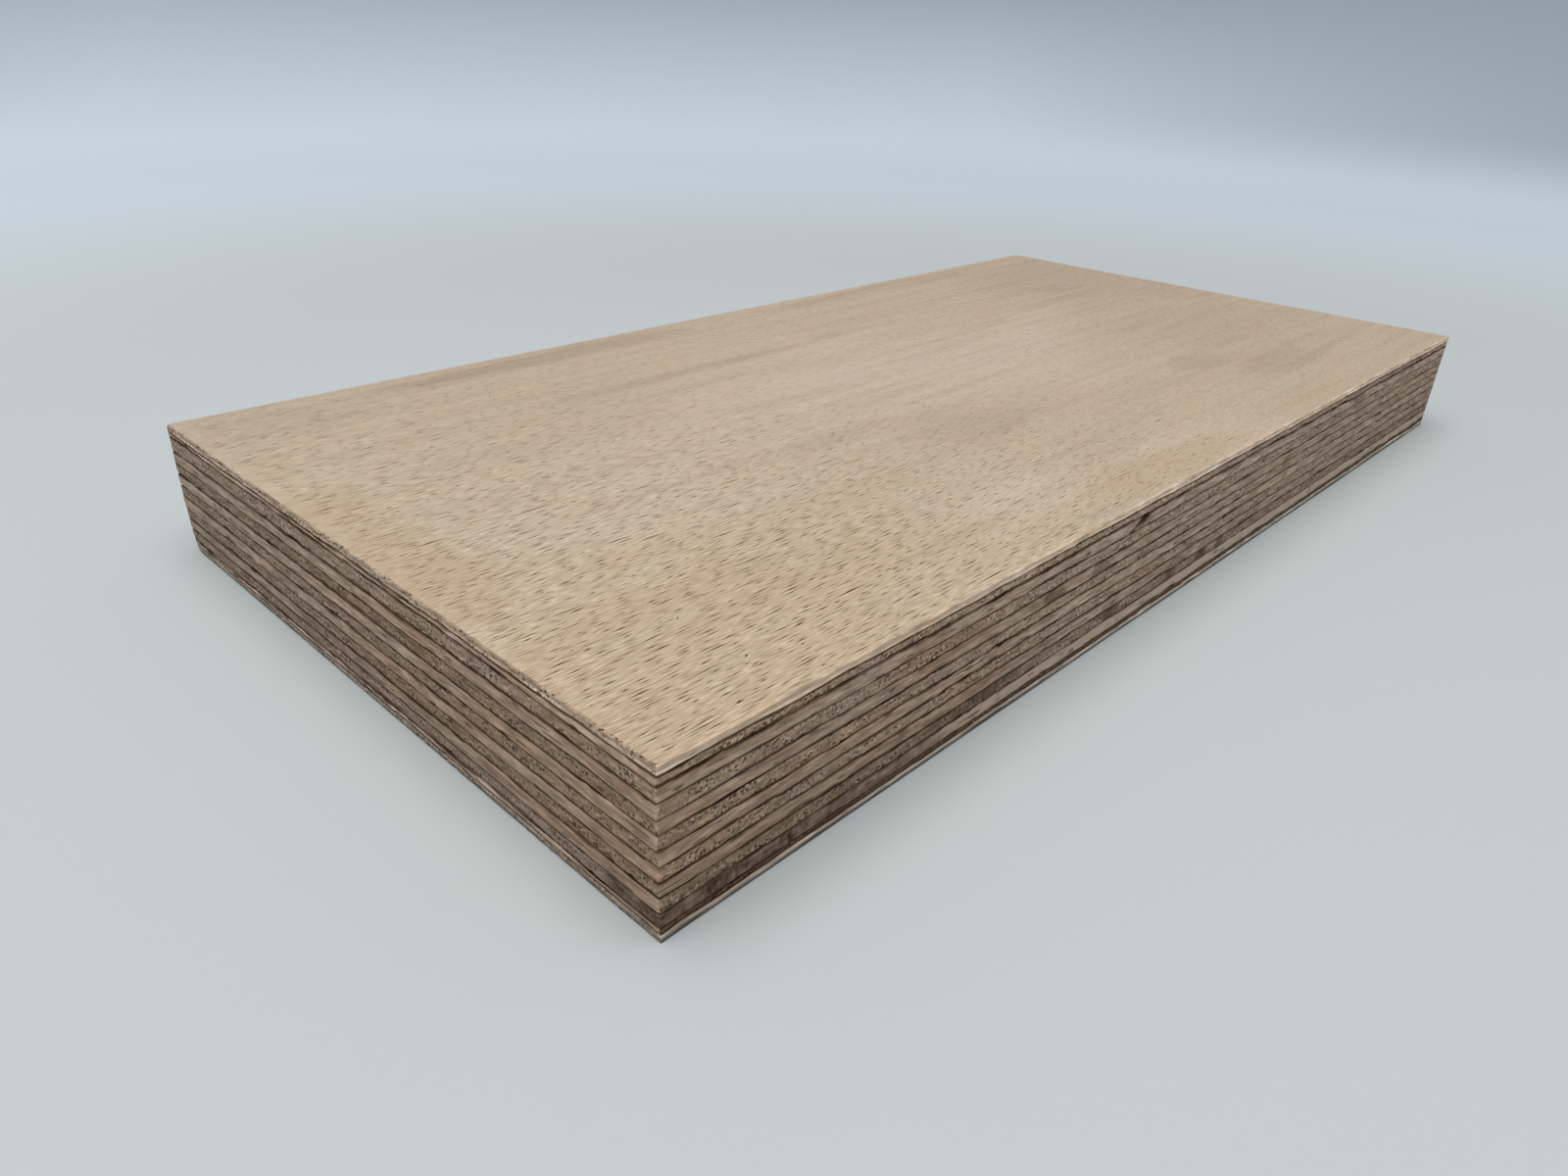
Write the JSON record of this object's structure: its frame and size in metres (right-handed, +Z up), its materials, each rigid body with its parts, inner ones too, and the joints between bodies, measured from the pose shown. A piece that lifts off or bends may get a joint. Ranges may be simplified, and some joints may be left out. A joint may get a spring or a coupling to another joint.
{
  "type": "plywood sheet",
  "caption": "Flat rectangular sheet of beech plywood, cross-laid veneers glued face to face, with square sawn edges that show the plies; stock for furniture and joinery.",
  "frame": {"origin": "centre of the bottom face, the face of the back veneer that the sheet lies on", "axes": "+X along the long edges and the grain of the face veneer, +Y across that grain, +Z up through the plies to the face veneer"},
  "size_m": [0.2, 0.1, 0.018],
  "materials": {
    "beech_face_veneer": "matte",
    "beech_long_ply": "matte",
    "beech_cross_ply": "matte",
    "beech_back_veneer": "matte"
  },
  "bodies": {
    "root": {"face_veneer": "beech_face_veneer", "upper_crossband": "beech_cross_ply", "long_ply_1": "beech_long_ply", "cross_ply_1": "beech_cross_ply", "long_ply_2": "beech_long_ply", "cross_ply_2": "beech_cross_ply", "long_ply_3": "beech_long_ply", "cross_ply_3": "beech_cross_ply", "long_ply_4": "beech_long_ply", "cross_ply_4": "beech_cross_ply", "long_ply_5": "beech_long_ply", "lower_crossband": "beech_cross_ply", "back_veneer": "beech_back_veneer"}
  },
  "joints": []
}
